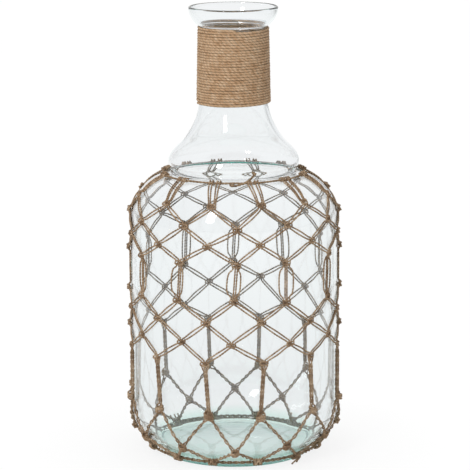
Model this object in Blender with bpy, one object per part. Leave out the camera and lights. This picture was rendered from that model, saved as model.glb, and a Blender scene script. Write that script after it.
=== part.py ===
"""A bottle vase of blown recycled glass, held in a knotted net of jute twine, with its neck wound in twine.

Metres, +Z up. The foot stands on z = 0, the bottle's axis is the Z axis, and the front faces -Y.
The net has twelve columns of knots. Each cord of it is folded in half over the top ring, runs down the
glass as two strands from knot to knot, and is tied to the bottom ring.
"""

import math

import bmesh
import bpy
from mathutils import Vector
from mathutils.geometry import interpolate_bezier

# Glass bottle: its stretches from the table up to the rim
HEEL_RISE = 0.038
BODY_LENGTH = 0.184
SHOULDER_RISE = 0.0442
BELL_RISE = 0.0094
FLARE_RISE = 0.0554
NECK_LENGTH = 0.0705
LIP_RISE = 0.0185
# The shallow hollow under the foot
PUNT_HEIGHT = 0.002

# Glass bottle: outer radii
RIM_RADIUS = 0.0415
NECK_TOP_RADIUS = 0.0305
NECK_FOOT_RADIUS = 0.032
BELL_RADIUS = 0.0612
GROOVE_RADIUS = 0.057
BODY_RADIUS = 0.097
FOOT_RADIUS = 0.071
PUNT_RADIUS = 0.040

# Glass bottle: wall
WALL = 0.003
FLOOR = 0.008
RIM_ROUND = 0.0013
BOTTLE_SIDES = 30

# Each curved stretch of the outline has two handles, as shares of its run in radius and in height.
HEEL_SHARES = ((0.154, 0.224), (1.0, 0.526))
SHOULDER_SHARES = ((0.0, 0.475), (0.425, 0.957))
GROOVE_SHARES = ((0.286, 0.34), (1.0, 0.65))
BELL_SHARES = ((0.0, 0.353), (0.439, 0.683))
FLARE_SHARES = ((0.324, 0.137), (0.914, 0.548))
LIP_SHARES = ((0.5, 0.12), (1.0, 0.55))
# Where the crown of the bell turns into the hollow flare under the neck, between bell and neck
CROWN_SHARES = (0.366, 0.301)

# Between pieces that lie on each other
PIECE_GAP = 0.0003
# Points of one surface nearer than this are one point.
MERGE = 0.000003

# Neck winding
WINDING_TWINE = 0.0024
WINDING_LOOPS = 24
LOOP_POINTS = 24

# Ring cords that the net hangs from and ends at
TOP_RING_CORD = 0.0024
BOTTOM_RING_CORD = 0.0032
RING_SIDES = 6

# Net: strands of twine, two to a cord, and the rope that both are twisted into lower down
COLUMNS = 12
STRAND_WIDTH = 0.0020
STRAND_HEIGHT = 0.0017
STRAND_SPACING = 0.0030
ROPE_WIDTH = 0.0026
ROPE_HEIGHT = 0.0024
# How far the outer strands bow out where they run straight down
BOW = 0.0030
# A straight strand dips this many times as far on the shoulder, which curves two ways, as on the body.
SHOULDER_DIP_SHARE = 1.8
# Flat knots of the strands, and round knots of the rope
KNOT_LENGTH = 0.0072
KNOT_THICKNESS = 0.0042
KNOT_CHEEK = 0.0015
BALL_LENGTH = 0.0084
BALL_THICKNESS = 0.0056
BALL_CHEEK = 0.0015
# Lark's heads over the top ring
HEAD_SPREAD = 0.0006
HEAD_LENGTH = 0.0031
FOLD_LENGTH = 0.0014
HEAD_ROUND = 0.0004
# Ties over the bottom ring
TIE_LENGTH = 0.0032
TIE_THICKNESS = 0.0030

# Knot rows as shares of the glass, from the groove under the bell down to the edge of the foot. The first
# is the top ring and the last is the bottom ring.
ROW_SHARES = (0.029, 0.128, 0.195, 0.249, 0.306, 0.432, 0.492, 0.558, 0.613, 0.780, 0.882, 0.976)
# The column that a cord is knotted in at each row between the rings: 0 is its home column, 1 the next one
KNOT_SWINGS = (0, 1, 0, 1, 1, 0, 1, 0, 0, 1)
# The row under which the outer strands bow, and the row under which the strands are twisted to a rope
BOW_ROW = 3
ROPE_ROW = 7
HOME, MIDWAY = 0, 0.5

# The tied ends of the top ring: shares of the way between two columns, then a place down the glass from the
# ring and a place over it, both as shares of the cord's thickness
TIE_SHARE = 0.1
TIE_OPENING_SHARE = 0.1
FIRST_END_SHARES = ((-0.2, 1.5, 0.0), (-0.067, 1.3, 0.0), (0.083, 0.95, 0.0))
LAST_END_SHARES = ((0.1, -0.4, 0.8), (0.217, -0.85, 1.6), (0.317, -1.0, 2.6))

GLASS_COLOUR = (0.80, 0.89, 0.87)
WINDING_COLOUR = (0.46, 0.30, 0.16)
RING_COLOUR = (0.36, 0.25, 0.15)
NET_COLOUR = (0.40, 0.27, 0.15)
GLASS_ROUGHNESS = 0.05
JUTE_ROUGHNESS = 0.9
GLASS_CREASE = math.radians(40)
CORD_CREASE = math.radians(80)
MM_PER_M = 1000

# Sizes that follow from those above
SHOULDER_HEIGHT = HEEL_RISE + BODY_LENGTH
GROOVE_HEIGHT = SHOULDER_HEIGHT + SHOULDER_RISE
BELL_HEIGHT = GROOVE_HEIGHT + BELL_RISE
NECK_FOOT_HEIGHT = BELL_HEIGHT + FLARE_RISE
NECK_TOP_HEIGHT = NECK_FOOT_HEIGHT + NECK_LENGTH
HEIGHT = NECK_TOP_HEIGHT + LIP_RISE
HALF_COLUMN = math.pi / COLUMNS
NEAR_STRAND = STRAND_WIDTH / 2 + PIECE_GAP
FAR_STRAND = NEAR_STRAND + STRAND_SPACING
ROPE_SIDE = ROPE_WIDTH / 2 + PIECE_GAP
HEAD_REACH = TOP_RING_CORD / 2 + HEAD_LENGTH
# A strand runs straight from knot to knot over the round glass, so it starts this high to clear it midway.
STRAND_SPAN = HALF_COLUMN - (NEAR_STRAND + FAR_STRAND) / BODY_RADIUS
STRAND_DIP = BODY_RADIUS * (1 - math.cos(STRAND_SPAN / 2))
STRAND_LIFT = PIECE_GAP + SHOULDER_DIP_SHARE * STRAND_DIP


def start_empty():
    """Removes what the scene holds."""
    for thing in list(bpy.data.objects):
        bpy.data.objects.remove(thing)


def finish(name, colour, roughness, transmission=0.0):
    """A material of one colour."""
    material = bpy.data.materials.new(name)
    material.use_nodes = True
    shader = material.node_tree.nodes["Principled BSDF"]
    shader.inputs["Base Color"].default_value = (*colour, 1.0)
    shader.inputs["Roughness"].default_value = roughness
    shader.inputs["Metallic"].default_value = 0.0
    shader.inputs["Transmission Weight"].default_value = transmission
    return material


def add_object(name, data, material):
    """Puts a mesh or a curve into the scene under its name."""
    thing = bpy.data.objects.new(name, data)
    if not data.materials:
        data.materials.append(material)
    bpy.context.scene.collection.objects.link(thing)
    return thing


def mesh_from(bm, name):
    """Closes a bmesh into a mesh whose faces point out."""
    bmesh.ops.recalc_face_normals(bm, faces=bm.faces)
    mesh = bpy.data.meshes.new(name)
    bm.to_mesh(mesh)
    bm.free()
    return mesh


def shade_round(mesh, angle):
    """Shades a mesh smooth, but keeps edges sharper than the angle."""
    mesh.shade_smooth()
    mesh.set_sharp_from_angle(angle=angle)


def curved(start, end, shares, steps):
    """Points after the start of a curved stretch of an outline, as (radius, height)."""
    handles = [[start[axis] + share[axis] * (end[axis] - start[axis]) for axis in (0, 1)] for share in shares]
    knots = [Vector((*point, 0.0)) for point in (start, *handles, end)]
    return [(point.x, point.y) for point in interpolate_bezier(*knots, steps + 1)[1:]]


def between(start, end, shares):
    """The point that lies at these shares of the way in radius and in height."""
    return tuple(start[axis] + shares[axis] * (end[axis] - start[axis]) for axis in (0, 1))


FOOT = (FOOT_RADIUS, 0.0)
HEEL = (BODY_RADIUS, HEEL_RISE)
SHOULDER = (BODY_RADIUS, SHOULDER_HEIGHT)
GROOVE = (GROOVE_RADIUS, GROOVE_HEIGHT)
BELL = (BELL_RADIUS, BELL_HEIGHT)
NECK_FOOT = (NECK_FOOT_RADIUS, NECK_FOOT_HEIGHT)
CROWN = between(BELL, NECK_FOOT, CROWN_SHARES)
NECK_TOP = (NECK_TOP_RADIUS, NECK_TOP_HEIGHT)
RIM = (RIM_RADIUS, HEIGHT - RIM_ROUND)


def lower_side():
    """The outer glass that the net lies on, from the foot's edge up to the groove."""
    return [
        FOOT,
        *curved(FOOT, HEEL, HEEL_SHARES, 6),
        SHOULDER,
        *curved(SHOULDER, GROOVE, SHOULDER_SHARES, 7),
    ]


def upper_side(fine):
    """The outer glass above the groove, up to the rim: bell, flare, neck and lip."""
    return [
        *curved(GROOVE, BELL, GROOVE_SHARES, 2),
        *curved(BELL, CROWN, BELL_SHARES, 3 if fine else 2),
        *curved(CROWN, NECK_FOOT, FLARE_SHARES, 5 if fine else 3),
        NECK_TOP,
        *curved(NECK_TOP, RIM, LIP_SHARES, 4 if fine else 2),
    ]


def moved_in(outline, distance):
    """An outline moved in by a distance, square to its own run."""
    moved = []
    for place, (radius, height) in enumerate(outline):
        before = Vector(outline[max(place - 1, 0)])
        after = Vector(outline[min(place + 1, len(outline) - 1)])
        run = (after - before).normalized()
        moved.append((radius - distance * run.y, height + distance * run.x))
    return moved


def hollow():
    """The inner glass, from the rim down to the middle of the floor. The wall is even down to the floor."""
    heel = [FOOT, *curved(FOOT, HEEL, HEEL_SHARES, 4)]
    shoulder = [SHOULDER, *curved(SHOULDER, GROOVE, SHOULDER_SHARES, 4)]
    inner = moved_in([*heel, *shoulder, *upper_side(fine=False)], WALL)[::-1]
    above = [point for point in inner if point[1] > FLOOR]
    last, below = above[-1], inner[len(above)]
    share = (last[1] - FLOOR) / (last[1] - below[1])
    return [*above, between(last, below, (share, share)), (0.0, FLOOR)]


def make_bottle():
    """The glass, turned from one outline that runs up outside and down inside."""
    underside = [(0.0, PUNT_HEIGHT), (PUNT_RADIUS, 0.0)]
    lip_top = (RIM_RADIUS - WALL / 2, HEIGHT)
    outline = [*underside, *lower_side(), *upper_side(fine=True), lip_top, *hollow()]
    bm = bmesh.new()
    points = [bm.verts.new((radius, 0.0, height)) for radius, height in outline]
    edges = [bm.edges.new(pair) for pair in zip(points, points[1:])]
    bmesh.ops.spin(
        bm,
        geom=points + edges,
        cent=(0.0, 0.0, 0.0),
        axis=(0.0, 0.0, 1.0),
        angle=math.tau,
        steps=BOTTLE_SIDES,
        use_merge=True,
    )
    bmesh.ops.remove_doubles(bm, verts=bm.verts, dist=MERGE)
    mesh = mesh_from(bm, "glass_bottle")
    shade_round(mesh, GLASS_CREASE)
    add_object("glass_bottle", mesh, finish("recycled_glass", GLASS_COLOUR, GLASS_ROUGHNESS, 1.0))


def skin_lengths(side):
    """How far along the outline each of its points lies."""
    lengths = [0.0]
    for here, there in zip(side, side[1:]):
        lengths.append(lengths[-1] + math.dist(here, there))
    return lengths


SKIN = lower_side()[::-1]
SKIN_LENGTHS = skin_lengths(SKIN)


def on_skin(station, lift):
    """(radius, height) at a lift over the glass, a length down the glass from the groove."""
    last = len(SKIN) - 2
    part = next((p for p in range(last + 1) if SKIN_LENGTHS[p + 1] >= station), last)
    start = Vector(SKIN[part])
    run = (Vector(SKIN[part + 1]) - start).normalized()
    point = start + (station - SKIN_LENGTHS[part]) * run
    out = sum((skin_normal(part + step) for step in (-1, 0, 1)), Vector((0.0, 0.0))).normalized()
    return point.x + lift * out.x, point.y + lift * out.y


def skin_normal(part):
    """The outward direction of one straight part of the outline."""
    part = min(max(part, 0), len(SKIN) - 2)
    run = (Vector(SKIN[part + 1]) - Vector(SKIN[part])).normalized()
    return Vector((-run.y, run.x))


def around(azimuth, side, station, lift):
    """A point over the glass: azimuth 0 faces the front, and side is a length to its right."""
    radius, height = on_skin(station, lift)
    across = Vector((math.cos(azimuth), math.sin(azimuth), 0.0))
    outward = Vector((math.sin(azimuth), -math.cos(azimuth), 0.0))
    return radius * outward + side * across + Vector((0.0, 0.0, height))


ROWS = [share * SKIN_LENGTHS[-1] for share in ROW_SHARES]
RING_STATION, KNOT_STATIONS, FOOT_RING_STATION = ROWS[0], ROWS[1:-1], ROWS[-1]


def tube(name, points, thickness, rounding, material):
    """A closed tube that follows points from end to end."""
    curve = bpy.data.curves.new(name, "CURVE")
    curve.dimensions = "3D"
    curve.bevel_depth = thickness / 2
    curve.bevel_resolution = rounding
    curve.use_fill_caps = True
    spline = curve.splines.new("POLY")
    spline.points.add(len(points) - 1)
    for place, point in zip(spline.points, points):
        place.co = (*point, 1.0)
    return add_object(name, curve, material)


def winding_points():
    """The middle line of the neck winding, from its lowest loop up, with a straight stretch at each end."""
    thick = WINDING_TWINE / 2
    steps = WINDING_LOOPS * LOOP_POINTS
    points = []
    for step in range(steps + 1):
        share = step / steps
        glass = NECK_FOOT_RADIUS + share * (NECK_TOP_RADIUS - NECK_FOOT_RADIUS)
        height = NECK_FOOT_HEIGHT + thick + share * (NECK_LENGTH - WINDING_TWINE)
        turn = math.tau * step / LOOP_POINTS
        reach = glass + PIECE_GAP + thick
        points.append(Vector((reach * math.sin(turn), reach * math.cos(turn), height)))
    first = points[0] + (points[0] - points[1]).normalized() * WINDING_TWINE
    last = points[-1] + (points[-1] - points[-2]).normalized() * WINDING_TWINE
    return [first, *points, last]


def least_gap(points, thickness, apart):
    """The least gap of a tube to itself, measured between points of its middle line that lie a way apart."""
    return min(
        (there - here).length - thickness
        for place, here in enumerate(points)
        for there in points[place + apart :]
    )


def make_winding():
    """The jute twine wound round the neck, one unbroken tube."""
    points = winding_points()
    gap = least_gap(points, WINDING_TWINE, LOOP_POINTS // 2)
    print(f"neck winding: {WINDING_LOOPS} loops, least gap to itself {gap * MM_PER_M:.2f} mm")
    tube("neck_winding", points, WINDING_TWINE, 1, finish("neck_twine", WINDING_COLOUR, JUTE_ROUGHNESS))


def ring_end(shares):
    """The points of a loose end of the top ring."""
    low = PIECE_GAP + TOP_RING_CORD / 2
    return [
        around(turn * 2 * HALF_COLUMN, 0.0, RING_STATION + down * TOP_RING_CORD, low + lift * TOP_RING_CORD)
        for turn, down, lift in shares
    ]


def make_top_ring(material):
    """The cord that the net hangs from, lying on the shoulder, with its two tied ends crossing in front."""
    low = PIECE_GAP + TOP_RING_CORD / 2
    tie = TIE_SHARE * 2 * HALF_COLUMN
    opening = TIE_OPENING_SHARE * 2 * HALF_COLUMN
    steps = BOTTLE_SIDES - 1
    turns = [tie + opening + (math.tau - 2 * opening) * step / steps for step in range(steps + 1)]
    loop = [around(turn, 0.0, RING_STATION, low) for turn in turns]
    points = [*ring_end(FIRST_END_SHARES), *loop, *ring_end(LAST_END_SHARES)]
    return tube("top_ring_cord", points, TOP_RING_CORD, 1, material)


def make_bottom_ring(material):
    """The closed ring of cord round the heel that the net's ends are tied to."""
    radius, height = on_skin(FOOT_RING_STATION, PIECE_GAP + BOTTOM_RING_CORD / 2)
    bm = bmesh.new()
    section = bmesh.ops.create_circle(bm, segments=RING_SIDES, radius=BOTTOM_RING_CORD / 2)["verts"]
    for vert in section:
        vert.co = (radius + vert.co.x, 0.0, height + vert.co.y)
    bmesh.ops.spin(
        bm,
        geom=section + bm.edges[:],
        cent=(0.0, 0.0, 0.0),
        axis=(0.0, 0.0, 1.0),
        angle=math.tau,
        steps=BOTTLE_SIDES,
        use_merge=True,
    )
    mesh = mesh_from(bm, "bottom_ring_cord")
    shade_round(mesh, CORD_CREASE)
    return add_object("bottom_ring_cord", mesh, material)


class NetCord:
    """One cord of the net, from its fold behind the top ring to its tail at the bottom ring.

    It winds between two columns of knots: its home column at azimuth 0 and the next column half a
    column's angle away. A hand of 1 puts it left of the home column, and -1 mirrors it.
    """

    def __init__(self, hand):
        self.hand = hand
        self.bm = bmesh.new()

    def point(self, swing, side, station, lift):
        """A corner, where swing is 0 at the home column and 1 at the next one."""
        azimuth = -swing * HALF_COLUMN * self.hand
        return self.bm.verts.new(around(azimuth, side * self.hand, station, lift))

    def section(self, swing, side, station, lift, width=STRAND_WIDTH, height=STRAND_HEIGHT):
        """Three corners round a strand: its two feet near the glass and its ridge between them."""
        feet = (side - width / 2, side + width / 2)
        return [
            self.point(swing, feet[0], station, lift),
            self.point(swing, side, station, lift + height),
            self.point(swing, feet[1], station, lift),
        ]

    def pair(self, swing, near, far, station, lift):
        """The sections of both strands, from left to right."""
        if swing < MIDWAY:
            return [self.section(swing, -far, station, lift), self.section(swing, -near, station, lift)]
        return [self.section(swing, near, station, lift), self.section(swing, far, station, lift)]

    def strands(self, *stages):
        """Joins the sections of each stage to those of the next."""
        for above, below in zip(stages, stages[1:]):
            for first, second in zip(above, below):
                for here, there in ((0, 1), (1, 2), (2, 0)):
                    self.bm.faces.new((first[here], first[there], second[there], second[here]))

    def knot(self, above, below, peak, cheek=None, cheek_left=False):
        """A knot's half between the strands over it and under it, with its peak and its outer cheek."""
        top = [corner for section in above for corner in section]
        bottom = [corner for section in below for corner in section][::-1]
        right = [] if cheek is None or cheek_left else [cheek]
        left = [cheek] if cheek is not None and cheek_left else []
        rim = [*top, *right, *bottom, *left]
        for here, there in zip(rim, [*rim[1:], rim[0]]):
            self.bm.faces.new((here, there, peak))
        self.back(above, below)
        if right:
            self.bm.faces.new((above[-1][2], cheek, below[-1][2]))
        if left:
            self.bm.faces.new((above[0][0], cheek, below[0][0]))

    def back(self, above, below):
        """The side of a knot that lies against the glass."""
        top = [section[foot] for section in above for foot in (0, 2)]
        bottom = [section[foot] for section in below for foot in (0, 2)]
        if len(top) == len(bottom):
            for place in range(len(top) - 1):
                self.bm.faces.new((top[place], top[place + 1], bottom[place + 1], bottom[place]))
            return
        many, few = (top, bottom) if len(top) > len(bottom) else (bottom, top)
        self.bm.faces.new((many[0], many[1], few[0]))
        self.bm.faces.new((many[1], many[2], few[1], few[0]))
        self.bm.faces.new((many[2], many[3], few[1]))

    def fold(self):
        """The lark's head over the top ring, from the fold behind it to the strands in front of it."""
        over = PIECE_GAP + TOP_RING_CORD + PIECE_GAP + HEAD_ROUND
        near, far = NEAR_STRAND + HEAD_SPREAD, FAR_STRAND + HEAD_SPREAD
        middle = -(near + far) / 2
        end_station = RING_STATION - HEAD_REACH - FOLD_LENGTH
        end = self.section(HOME, middle, end_station, STRAND_LIFT, width=far - near)
        behind = self.pair(HOME, near, far, RING_STATION - HEAD_REACH, STRAND_LIFT)
        peak = self.point(HOME, middle, end_station + FOLD_LENGTH / 2, over)
        self.bm.faces.new(end)
        self.knot([end], behind, peak)
        top = self.pair(HOME, near, far, RING_STATION, over)
        front = self.pair(HOME, near, far, RING_STATION + HEAD_REACH, STRAND_LIFT)
        return [behind, top, front]

    def half_knot(self, swing, station, into_rope=False):
        """A flat knot's half; it gives the strands above it and what leaves it below."""
        outer = self.outer(swing)
        low = station + KNOT_LENGTH / 2
        above = self.pair(swing, NEAR_STRAND, FAR_STRAND, station - KNOT_LENGTH / 2, STRAND_LIFT)
        below = self.rope(swing, low) if into_rope else self.pair(swing, NEAR_STRAND, FAR_STRAND, low, STRAND_LIFT)
        peak = self.point(swing, outer * (NEAR_STRAND + FAR_STRAND) / 2, station, KNOT_THICKNESS)
        cheek = self.point(swing, outer * (FAR_STRAND + KNOT_CHEEK), station, STRAND_LIFT)
        self.knot(above, below, peak, cheek, cheek_left=outer < 0)
        return above, below

    def outer(self, swing):
        """The side on which the cord lies of a column's middle: -1 is left."""
        return -1 if swing < MIDWAY else 1

    def rope(self, swing, station, lift=STRAND_LIFT, side=None):
        """The one section of both strands twisted together."""
        side = self.outer(swing) * ROPE_SIDE if side is None else side
        return [self.section(swing, side, station, lift, ROPE_WIDTH, ROPE_HEIGHT)]

    def half_ball(self, swing, station, length=BALL_LENGTH, thickness=BALL_THICKNESS, lift=STRAND_LIFT):
        """A round knot's half on the rope."""
        outer = self.outer(swing)
        above = self.rope(swing, station - length / 2, lift)
        below = self.rope(swing, station + length / 2, lift)
        peak = self.point(swing, outer * ROPE_SIDE, station, thickness)
        cheek = self.point(swing, outer * (ROPE_SIDE + ROPE_WIDTH / 2 + BALL_CHEEK), station, lift)
        self.knot(above, below, peak, cheek, cheek_left=outer < 0)
        return above, below

    def tie(self):
        """The tie over the bottom ring, with the cord's cut end under it."""
        over = PIECE_GAP + BOTTOM_RING_CORD + PIECE_GAP
        above, below = self.half_ball(HOME, FOOT_RING_STATION, TIE_LENGTH, over + TIE_THICKNESS, over)
        self.bm.faces.new(below[0])
        beside = self.rope(HOME, FOOT_RING_STATION - BOTTOM_RING_CORD / 2 - HEAD_LENGTH)
        return [beside, above]

    def make(self):
        """The whole cord as a mesh."""
        stages = self.fold()
        near, far = NEAR_STRAND + HEAD_SPREAD / 2, FAR_STRAND + HEAD_SPREAD / 2
        stages.append(self.pair(HOME, near, far, (RING_STATION + KNOT_STATIONS[0]) / 2, STRAND_LIFT))
        next_stations = [*KNOT_STATIONS[1:], FOOT_RING_STATION]
        for row, (swing, station) in enumerate(zip(KNOT_SWINGS, KNOT_STATIONS)):
            if row > ROPE_ROW:
                above, below = self.half_ball(swing, station)
            else:
                above, below = self.half_knot(swing, station, into_rope=row == ROPE_ROW)
            self.strands(*stages, above)
            stages = [below]
            middle = (station + next_stations[row]) / 2
            if row == BOW_ROW:
                stages.append(self.pair(swing, NEAR_STRAND, FAR_STRAND + BOW, middle, STRAND_LIFT))
            if row > ROPE_ROW:
                stages.append(self.rope(MIDWAY, middle, side=0.0))
        self.strands(*stages, *self.tie())
        return mesh_from(self.bm, f"net_cord_{'left' if self.hand > 0 else 'right'}")


def make_net(material):
    """Twenty-four cords: a left and a right one for each column, turned about the axis."""
    halves = [NetCord(1).make(), NetCord(-1).make()]
    for count in range(2 * COLUMNS):
        column, half = divmod(count, 2)
        cord = add_object(f"net_cord_{count + 1:02d}", halves[half], material)
        cord.rotation_euler.z = (2 * column + 1) * HALF_COLUMN


start_empty()
make_bottle()
make_winding()
make_top_ring(finish("top_ring_twine", RING_COLOUR, JUTE_ROUGHNESS))
make_bottom_ring(finish("bottom_ring_twine", RING_COLOUR, JUTE_ROUGHNESS))
make_net(finish("net_twine", NET_COLOUR, JUTE_ROUGHNESS))
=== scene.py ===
# %% [markdown]
# # A glass bottle vase in a knotted jute net
# The vase is a blown bottle of recycled glass. A net of jute twine hangs round its body from a ring
# cord under the bell, and more twine is wound round its neck. The CAD model holds every piece at its
# real size. This notebook gives each piece its fine surface: smooth glass that is green where it is
# thick, and twine with real plies that run through every knot.

import math
import random
from bisect import bisect_right

import bmesh
import bpy
import numpy as np
from mathutils import Matrix, Vector, noise
from mathutils.geometry import interpolate_bezier


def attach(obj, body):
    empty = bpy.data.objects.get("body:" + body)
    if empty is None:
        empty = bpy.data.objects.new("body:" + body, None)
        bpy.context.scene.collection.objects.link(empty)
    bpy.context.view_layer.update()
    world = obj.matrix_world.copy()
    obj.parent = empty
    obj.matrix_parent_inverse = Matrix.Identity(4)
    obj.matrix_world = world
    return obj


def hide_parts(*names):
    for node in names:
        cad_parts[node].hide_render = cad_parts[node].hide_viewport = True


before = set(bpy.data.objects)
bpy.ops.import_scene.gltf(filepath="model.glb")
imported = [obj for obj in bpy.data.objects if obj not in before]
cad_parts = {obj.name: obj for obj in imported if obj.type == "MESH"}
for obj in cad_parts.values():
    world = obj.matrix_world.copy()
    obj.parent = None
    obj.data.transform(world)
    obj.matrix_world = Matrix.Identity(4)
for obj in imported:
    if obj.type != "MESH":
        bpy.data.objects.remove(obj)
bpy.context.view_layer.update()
scene = bpy.context.scene

# %% [markdown]
# ## Small helpers
# Lengths are written in millimetres, as on a drawing, and become metres when a mesh is made. Colours
# are written as the hex codes that a picture editor shows. Blender computes with linear light, so one
# function turns a code into the numbers that a socket takes, and one more adds a node to a material.

# %% Colours, nodes and materials
MM = 0.001
# The sockets of a Map Range node: a stretch that comes in, and what goes out at its two ends
RANGE = ("From Min", "From Max", "To Min", "To Max")


def linear(code):
    """The linear colour of an sRGB hex code."""
    parts = [int(code[place : place + 2], 16) / 255 for place in (1, 3, 5)]
    return (*[part / 12.92 if part <= 0.04045 else ((part + 0.055) / 1.055) ** 2.4 for part in parts], 1.0)


def add_node(tree, kind, links=None, values=None, **settings):
    """Adds a node, links outputs to its sockets, and sets its other sockets' values and its options."""
    made = tree.nodes.new("ShaderNode" + kind)
    for name, setting in settings.items():
        setattr(made, name, setting)
    for name, value in (values or {}).items():
        made.inputs[name].default_value = value
    for name, output in (links or {}).items():
        tree.links.new(output, made.inputs[name])
    return made


def new_material(name, **values):
    """A material with its Principled shader's sockets set by name, underscores standing for spaces."""
    material = bpy.data.materials.new(name)
    material.use_nodes = True
    shader = material.node_tree.nodes["Principled BSDF"]
    for socket, value in values.items():
        shader.inputs[socket.replace("_", " ")].default_value = value
    return material, material.node_tree, shader


def add_object(name, mesh, material):
    """Puts a finished mesh into the scene, smooth-shaded, at the origin."""
    mesh.shade_smooth()
    mesh.materials.clear()
    mesh.materials.append(material)
    made = bpy.data.objects.new(name, mesh)
    scene.collection.objects.link(made)
    return made


print(f"middle grey, #808080, is {linear('#808080')[0]:.2f} in linear light")

# %% [markdown]
# ## The bottle's outline
# A blown bottle is round, so half of its outline says all of its shape. Curved stretches of the
# outline are Bézier curves: two ends and two handles each, which keeps the reflections on the glass
# free of kinks. Points typed by hand would show as rings in the glass.

# %% Trace the outside from the foot to the rim
FOOT, HEEL, SHOULDER = (71.0, 0.0), (97.0, 38.0), (97.0, 222.0)
GROOVE, BELL, CROWN = (57.0, 266.2), (61.2, 275.6), (50.5, 292.3)
NECK_FOOT, NECK_TOP, RIM = (32.0, 331.0), (30.5, 401.5), (41.5, 418.7)
# How thick the wall is at some heights
WALL_HEIGHTS, WALLS = (14.0, 36.0, 200.0, 260.0, 292.0, 331.0), (3.5, 3.0, 3.0, 1.6, 1.6, 2.2)


def trace(steps, start, *rest):
    """Points along a straight or a curved stretch, without its first point."""
    if len(rest) == 1:
        return [tuple(Vector(start).lerp(Vector(rest[0]), step / steps)) for step in range(1, steps + 1)]
    knots = [Vector((*point, 0.0)) for point in (start, *rest)]
    return [(point.x, point.y) for point in interpolate_bezier(*knots, steps + 1)[1:]]


lower_side = [
    FOOT,
    *trace(24, FOOT, (75.0, 8.5), (97.0, 20.0), HEEL),
    *trace(12, HEEL, SHOULDER),
    *trace(30, SHOULDER, (97.0, 243.0), (80.0, 264.3), GROOVE),
]
upper_side = [
    *trace(8, GROOVE, (58.2, 269.4), (61.2, 272.3), BELL),
    *trace(12, BELL, (61.2, 281.5), (56.5, 287.0), CROWN),
    *trace(16, CROWN, (44.5, 297.6), (33.6, 313.5), NECK_FOOT),
    *trace(12, NECK_FOOT, NECK_TOP),
    *trace(14, NECK_TOP, (36.0, 403.6), (41.5, 411.0), RIM),
]
print(f"outside: {len(lower_side) + len(upper_side)} points, up to {RIM[1]} mm")

# %% [markdown]
# ## The glass body
# The wall is about 3 mm thick, all the way down to a thicker floor, where blown glass collects. It
# thins over the bell, or the bell would be a strong lens and squeeze what is seen through it. The
# outline goes up the outside, round a fire-polished lip and down the inside. One full spin makes the
# body. The same could be done with a Screw modifier, but a spin in bmesh closes its own seam.

# %% Spin the glass
SPIN_STEPS = 192


def moved_in(line):
    """The inside of the wall: the outline moved to its left, square to its run over six points."""
    moved = []
    for place, point in enumerate(line):
        before, after = line[max(place - 3, 0)], line[min(place + 3, len(line) - 1)]
        run = (Vector(after) - Vector(before)).normalized()
        wall = np.interp(point[1], WALL_HEIGHTS, WALLS)
        moved.append((point[0] - wall * run.y, point[1] + wall * run.x))
    return moved


def spin_mesh(name, outline):
    """A closed mesh turned round the Z axis from an outline in millimetres."""
    bm = bmesh.new()
    points = [bm.verts.new((radius * MM, 0.0, height * MM)) for radius, height in outline]
    edges = [bm.edges.new(pair) for pair in zip(points, points[1:])]
    around = {"cent": (0.0, 0.0, 0.0), "axis": (0.0, 0.0, 1.0), "angle": math.tau}
    bmesh.ops.spin(bm, geom=points + edges, steps=SPIN_STEPS, use_merge=True, **around)
    bmesh.ops.remove_doubles(bm, verts=bm.verts, dist=0.001 * MM)
    bmesh.ops.recalc_face_normals(bm, faces=bm.faces)
    mesh = bpy.data.meshes.new(name)
    bm.to_mesh(mesh)
    bm.free()
    return mesh


FLOOR, FLOOR_CORNER, LIP_RISE = 5.6, 1.5, 1.7
underside = [(0.0, 2.0), (20.0, 1.8), (40.0, 1.1), (56.0, 0.4), (66.0, 0.05), (69.4, 0.0), (70.6, 0.25)]
outside = [*underside, (71.3, 0.9), *lower_side[2:], *upper_side]
inner_wall = moved_in([*lower_side, *upper_side])
inside = [point for point in inner_wall if point[1] > FLOOR + FLOOR_CORNER][::-1]
lip_top = RIM[1] + LIP_RISE
lip = trace(6, RIM, (RIM[0], lip_top), (inside[0][0], lip_top), inside[0])[:-1]
floor_edge = trace(6, inside[-1], (73.5, FLOOR + 0.3), (71.0, FLOOR), (67.0, FLOOR))
floor = [*floor_edge, (40.0, FLOOR), (0.0, FLOOR + 0.6)]
glass_mesh = spin_mesh("glass_bottle_body", [*outside, *lip, *inside, *floor])
print(f"glass: {len(glass_mesh.polygons)} faces")

# %% [markdown]
# ## Recycled soda-lime glass
# Bottle glass melted from cullet has an index of about 1.52. Traces of iron take out red light, which
# a thin wall hardly shows and a thick floor shows as green. So the colour is put in the volume first
# and not on the surface: the longer the way through the glass, the greener it gets. A slow noise bump
# stands for the uneven wall of blown glass, whose waves are some 40 mm long.

# %% Make the glass material
GLASS_WAVE, GLASS_RELIEF = 40 * MM, 0.4 * MM

glass, tree, shader = new_material(
    "recycled_soda_lime_glass_blown",
    Base_Color=linear("#ffffff"),
    Roughness=0.0,
    IOR=1.52,
    Transmission_Weight=1.0,
)
place = add_node(tree, "TexCoord").outputs["Object"]
slow = {"Scale": 1 / GLASS_WAVE, "Detail": 1.0, "Roughness": 0.4}
waves = add_node(tree, "TexNoise", {"Vector": place}, slow)
bump = add_node(tree, "Bump", {"Height": waves.outputs["Fac"]}, {"Strength": 0.5, "Distance": GLASS_RELIEF})
tree.links.new(bump.outputs["Normal"], shader.inputs["Normal"])
iron = add_node(tree, "VolumeAbsorption", values={"Color": (0.0, 0.88, 0.8, 1.0), "Density": 7.0})
tree.links.new(iron.outputs["Volume"], tree.nodes["Material Output"].inputs["Volume"])
print(f"glass: {glass.name}, waves of {GLASS_WAVE / MM:.0f} mm")

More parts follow.
